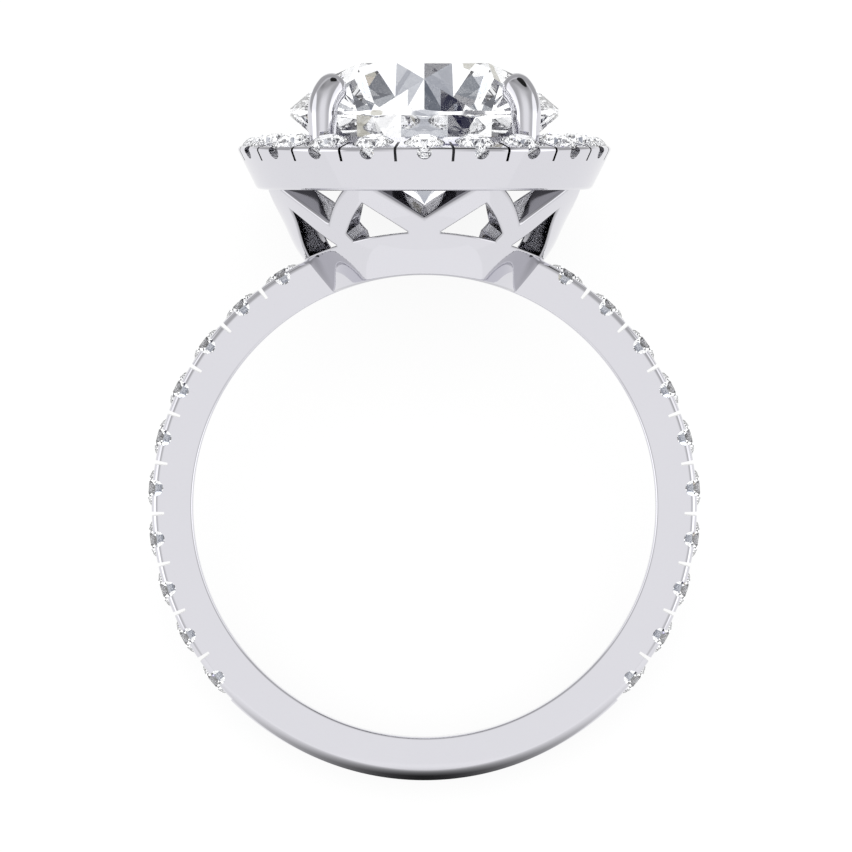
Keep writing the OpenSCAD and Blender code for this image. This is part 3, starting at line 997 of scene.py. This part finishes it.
def diamond(finish):
    """Clear, colourless diamond: bare polished facets that bend light by 2.417."""
    material = bpy.data.materials.new(STONE_FINISH)
    tree = NodeTree(material)
    shader = tree.node("ShaderNodeBsdfPrincipled", None, {
        "Base Color": rgba(finish.stone), "Roughness": 0.0, "IOR": finish.stone_ior,
        "Transmission Weight": 1.0,
    })
    tree.finish("ShaderNodeOutputMaterial", shader.outputs[0])
    return material


def card_mask(tree, direction, card, degrees):
    """1 where a direction points at a round card of a half angle, 0 elsewhere, with a slightly soft edge."""
    middle = np.array(card) @ AXES / np.linalg.norm(card)
    outer, inner = np.cos(np.radians([1.1 * degrees, 0.9 * degrees]))
    return tree.dot(direction, middle).step(float(outer), float(inner))


def metal_light(tree, direction):
    """How bright the room is in the polished metal, by direction from the ring. It is white behind the camera
    and all round below. At eye height it turns grey towards both sides, and then there are white panels.
    Above, it falls off away from the camera, with a dark gap over the head and dark cards over the claws."""
    towards = tree.dot(direction, -AWAY)
    across = abs(tree.dot(direction, ACROSS))
    up = tree.dot(direction, UP)
    above = up.step(-0.05, 0.25) * towards.step(0.99, 0.6)
    level = up.step(-0.55, -0.35)
    panels = across.step(0.74, 0.82) * towards.step(-0.3, 0.0) * level
    behind = towards.step(0.0, -0.3) * level * (1.0 - above)
    grey = across.step(0.15, 0.65) * towards.step(-0.1, 0.1) * level * (1.0 - 0.5 * above)
    over = up.step(0.72, 0.9) * towards.step(-0.06, 0.06)
    seen = 1.0 - 0.32 * above + 0.55 * panels - (0.25 * over + 0.36 * grey + 0.6 * behind) * (1.0 - panels)
    for card, degrees, dark in METAL_CARDS:
        seen = seen * (1.0 - dark * card_mask(tree, direction, card, degrees))
    return seen


def stone_light(tree, direction):
    """The room's colour as the stones' facets show it: bright white, with grey, dark and tinted cards."""
    seen = rgba(WHITE)
    for card, degrees, colour in STONE_CARDS:
        seen = tree.mix(card_mask(tree, direction, card, degrees), seen, rgba(colour))
    return seen


def kept_light(tree, path):
    """How much is left of light that has gone from metal to metal, as deep between the gallery's bars."""
    return 1.0 - 0.68 * Value(tree, path.outputs["Ray Depth"]).step(1.8, 4.6)


def room_light(stage):
    """White light all round, which polished metal and stones see as panels and dark gaps. Light that has been
    thrown about for long, between metal and metal or inside the stones, is dimmer."""
    world = bpy.data.worlds.new("room")
    bpy.context.scene.world = world
    tree = NodeTree(world)
    direction = tree.node("ShaderNodeTexCoord").outputs["Generated"]
    path = tree.node("ShaderNodeLightPath")
    plain = tree.node("ShaderNodeCombineColor", None, {0: 1.0, 1: 1.0, 2: 1.0}).outputs[0]
    in_metal = tree.grey(metal_light(tree, direction) * kept_light(tree, path))
    seen = tree.mix(path.outputs["Is Glossy Ray"], plain, in_metal)
    inside = Value(tree, path.outputs["Ray Depth"]).step(9.5, 17.0)
    facets = tree.mix(0.9 * inside, stone_light(tree, direction), (0.0, 0.0, 0.02, 1.0))
    seen = tree.mix(path.outputs["Is Transmission Ray"], seen, facets)
    strength = 1.0 + (stage.light - 1.0) * Value(tree, path.outputs["Is Diffuse Ray"])
    background = tree.node("ShaderNodeBackground", None, {"Color": seen, "Strength": strength})
    tree.finish("ShaderNodeOutputWorld", background.outputs[0])


def floor_material(stage):
    """White floor with a faint shadow. Polished metal sees it a little dimmer beyond the head."""
    material = bpy.data.materials.new("floor")
    tree = NodeTree(material)
    place = tree.node("ShaderNodeTexCoord").outputs["Object"]
    path = tree.node("ShaderNodeLightPath")
    beyond = tree.dot(place, UP / MM)
    mirrored_in_metal = (0.96 - 0.5 * beyond.step(14.0, 18.0)) * kept_light(tree, path)
    matt = tree.node("ShaderNodeBsdfDiffuse", None, {"Color": rgba(stage.floor)})
    glow = tree.node("ShaderNodeEmission", None, {"Color": (1.0, 1.0, 1.0, 1.0), "Strength": 0.9})
    plain = tree.node("ShaderNodeAddShader", None, {0: matt.outputs[0], 1: glow.outputs[0]})
    mirrored = tree.node("ShaderNodeEmission", None, {"Color": tree.grey(mirrored_in_metal), "Strength": 1.0})
    mixed = tree.node("ShaderNodeMixShader", None, {
        0: path.outputs["Is Glossy Ray"], 1: plain.outputs[0], 2: mirrored.outputs[0]
    })
    tree.finish("ShaderNodeOutputMaterial", mixed.outputs[0])
    return material


def flat_sheet(name, corners, material):
    """A flat sheet of the stage between four corners in the row frame."""
    mesh = bpy.data.meshes.new(name)
    mesh.from_pydata(corners, [], [(0, 1, 2, 3)])
    mesh.materials.append(material)
    sheet = bpy.data.objects.new(name, mesh)
    bpy.context.scene.collection.objects.link(sheet)
    sheet.visible_transmission = False
    return sheet


def add_floor(stage):
    """A wide square at z = 0."""
    half = 3.0
    corners = [(-half, -half, 0), (half, -half, 0), (half, half, 0), (-half, half, 0)]
    floor = flat_sheet("floor", corners, floor_material(stage))


def add_shadow_card():
    """The surface under the band's bottom, which only the polished metal sees. It glows white with a painted
    contact shadow: to metal close by it is dark where the two nearly touch, 1 - exp(-distance from the band
    / 3.2 mm - across squared / 55 mm2)."""
    front, half, back, under = -1.0, 14, 0.85, -9.86
    material = bpy.data.materials.new("card")
    tree = NodeTree(material)
    place = tree.node("ShaderNodeTexCoord").outputs["Object"]
    distance = tree.dot(place, -AWAY / MM) + (HOLE @ AWAY / MM + front)
    along = tree.dot(place, ACROSS / MM)
    fall = tree.math("MAXIMUM", distance, 0.0) * (-1 / 3.2) - along * along * (1 / 55)
    close = (Value(tree, tree.node("ShaderNodeLightPath").outputs["Ray Length"]) * (1 / MM)).step(9.0, 5.0)
    # Painted contact shadow: the card's glow is darker near the band's bottom, for metal close by
    seen = 1.02 - close * tree.math("EXPONENT", fall)
    glow = tree.node("ShaderNodeEmission", None, {"Color": tree.grey(seen), "Strength": 1.0})
    tree.finish("ShaderNodeOutputMaterial", glow.outputs[0])
    corners = [(-half, -half, under), (half, -half, under), (half, back, under), (-half, back, under)]
    card = flat_sheet("card", to_row(corners).tolist(), material)
    card.visible_camera = card.visible_diffuse = card.visible_shadow = False


def add_camera(stage):
    """A long lens square to the band's side face, a little over it, so that the head is up in the picture."""
    tilt = stage.tilt
    back = -AWAY * math.cos(tilt) + UP * math.sin(tilt)
    aim = to_row([AIM])[0]
    data = bpy.data.cameras.new("camera")
    data.sensor_width = 36.0
    data.lens = 36.0 * stage.distance / stage.view_width
    data.clip_start, data.clip_end = 0.05, 20.0
    camera = bpy.data.objects.new("camera", data)
    camera.location = aim + back * stage.distance
    camera.rotation_mode = "QUATERNION"
    camera.rotation_quaternion = Vector(-back).to_track_quat("-Z", "Y")
    bpy.context.scene.collection.objects.link(camera)
    bpy.context.scene.camera = camera


class RING_OT_stage(Operator):
    """Adds the camera, the pale floor and the light"""

    bl_idname = "ring.stage"
    bl_label = "Stage"

    def execute(self, context):
        stage = context.scene.ring_stage
        add_camera(stage)
        add_floor(stage)
        add_shadow_card()
        room_light(stage)
        scene = context.scene
        scene.view_settings.view_transform = "Standard"
        scene.cycles.max_bounces = 40
        scene.cycles.glossy_bounces = 32
        scene.cycles.transmission_bounces = 32
        scene.cycles.blur_glossy = 0.0
        scene.cycles.caustics_reflective = scene.cycles.caustics_refractive = False
        return {"FINISHED"}


class RING_OT_band(Operator):
    """Adds the band, with its seats, notches and slots"""

    bl_idname = "ring.band"
    bl_label = "Band"

    def execute(self, context):
        place_metal(band_piece(context.scene.ring_band), in_stones=True)
        return {"FINISHED"}


class RING_OT_gallery(Operator):
    """Adds the pierced gallery and its collar"""

    bl_idname = "ring.gallery"
    bl_label = "Gallery"

    def execute(self, context):
        place_metal(gallery_piece())
        return {"FINISHED"}


class RING_OT_halo(Operator):
    """Adds the halo's frame"""

    bl_idname = "ring.halo"
    bl_label = "Halo frame"

    def execute(self, context):
        place_metal(halo_piece(context.scene.ring_head))
        return {"FINISHED"}


class RING_OT_prongs(Operator):
    """Adds the four prongs of the centre stone"""

    bl_idname = "ring.prongs"
    bl_label = "Prongs"

    def execute(self, context):
        place_metal(prongs_piece(context.scene.ring_head))
        return {"FINISHED"}


class RING_OT_stones(Operator):
    """Gives every stone of the frame its diamond"""

    bl_idname = "ring.stones"
    bl_label = "Stones"

    def execute(self, context):
        for name, node in frame["nodes"].items():
            if name != METAL_NODE:
                node.data.materials.clear()
                node.data.materials.append(bpy.data.materials[STONE_FINISH])
        return {"FINISHED"}


class RING_OT_finishes(Operator):
    """Makes the metal's and the stones' finishes"""

    bl_idname = "ring.finishes"
    bl_label = "Finishes"

    def execute(self, context):
        white_gold(context.scene.ring_finish, METAL_FINISH, False)
        white_gold(context.scene.ring_finish, RECESS_SHADE_FINISH, True)
        diamond(context.scene.ring_finish)
        return {"FINISHED"}


class RING_PT_panel(Panel):
    bl_label = "Anniversary ring"
    bl_idname = "RING_PT_panel"
    bl_space_type = "VIEW_3D"
    bl_region_type = "UI"
    bl_category = "Ring"

    def draw(self, context):
        for name in STEPS:
            self.layout.operator(f"ring.{name}")
        for group in GROUPS:
            settings = getattr(context.scene, group)
            for name in settings.bl_rna.properties.keys():
                if name not in ("rna_type", "name"):
                    self.layout.prop(settings, name)


GROUPS = {
    "ring_band": BandSizes, "ring_head": HeadSizes, "ring_finish": FinishSizes, "ring_stage": StageSizes,
}
STEPS = ("stage", "finishes", "band", "gallery", "halo", "prongs", "stones")
CLASSES = (
    *GROUPS.values(), RING_OT_stage, RING_OT_finishes, RING_OT_band, RING_OT_gallery, RING_OT_halo,
    RING_OT_prongs, RING_OT_stones, RING_PT_panel,
)


def register():
    for c in CLASSES:
        bpy.utils.register_class(c)
    for name, group in GROUPS.items():
        setattr(bpy.types.Scene, name, PointerProperty(type=group))


def unregister():
    for name in GROUPS:
        delattr(bpy.types.Scene, name)
    for c in reversed(CLASSES):
        bpy.utils.unregister_class(c)


def main():
    register()
    for name in STEPS:
        getattr(bpy.ops.ring, name)()


if __name__ == "__main__":
    main()
